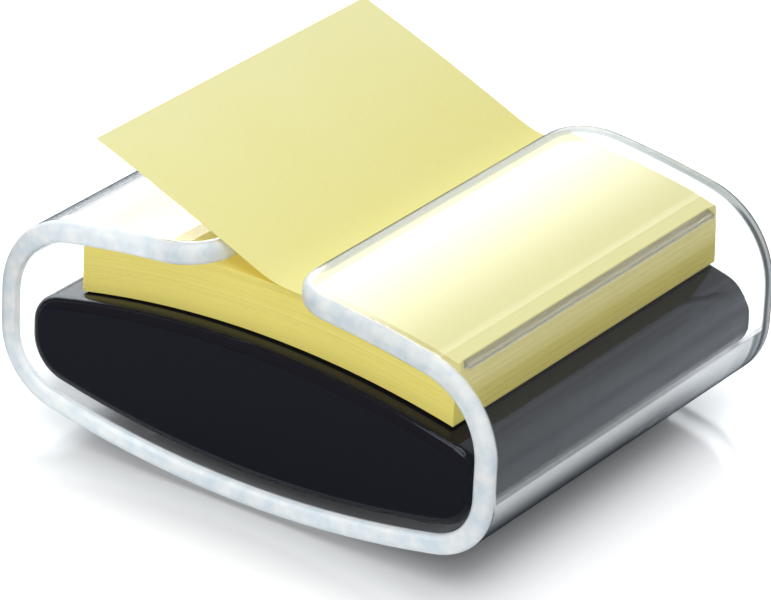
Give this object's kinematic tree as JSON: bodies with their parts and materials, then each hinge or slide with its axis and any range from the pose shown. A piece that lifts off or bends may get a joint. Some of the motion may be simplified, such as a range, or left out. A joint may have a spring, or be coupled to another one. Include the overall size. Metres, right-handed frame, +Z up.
{
  "type": "sticky note dispenser",
  "caption": "Desk dispenser for pop-up sticky notes: a clear wrap, open at both ends, round a weighted black base, with a slot along the top that the next note stands out of.",
  "frame": {"origin": "on the surface that the feet stand on, under the middle of the wrap", "axes": "+X across the slot, to the right as seen from the front mouth; +Y from the front mouth to the back mouth; +Z up"},
  "size_m": [0.1008, 0.086, 0.0556],
  "materials": {
    "clear_acrylic": "polished clear acrylic",
    "gloss_black": "polished black plastic",
    "matte_black": "fine matt black plastic",
    "zinc_steel": "zinc plated",
    "ballast_steel": "sheared mild steel",
    "foam_tape": "black foam tape",
    "foot_rubber": "clear soft bumper",
    "yellow_paper": "pale yellow uncoated paper"
  },
  "bodies": {
    "dispenser": {"clear_wrap": "clear_acrylic", "base_housing": "gloss_black", "base_cover": "matte_black", "cover_screws": "zinc_steel", "tape_left": "foam_tape", "tape_right": "foam_tape", "ballast_lower": "ballast_steel", "ballast_upper": "ballast_steel", "foot_front_left": "foot_rubber", "foot_back_left": "foot_rubber", "foot_front_right": "foot_rubber", "foot_back_right": "foot_rubber"},
    "pad": {"note_pad": "yellow_paper", "popped_note_root": "yellow_paper"},
    "leaf": {"popped_note_leaf": "yellow_paper"}
  },
  "joints": [
    {"name": "pad_slide", "type": "slide", "parent": "dispenser", "child": "pad", "axis": [0, -1, 0], "range_m": [-0.088, 0.088]},
    {"name": "leaf_fold", "type": "hinge", "parent": "pad", "child": "leaf", "pos_m": [0.0024, 0.0011, 0.03999], "axis": [0, 1, 0], "range_deg": [0, 100]}
  ]
}
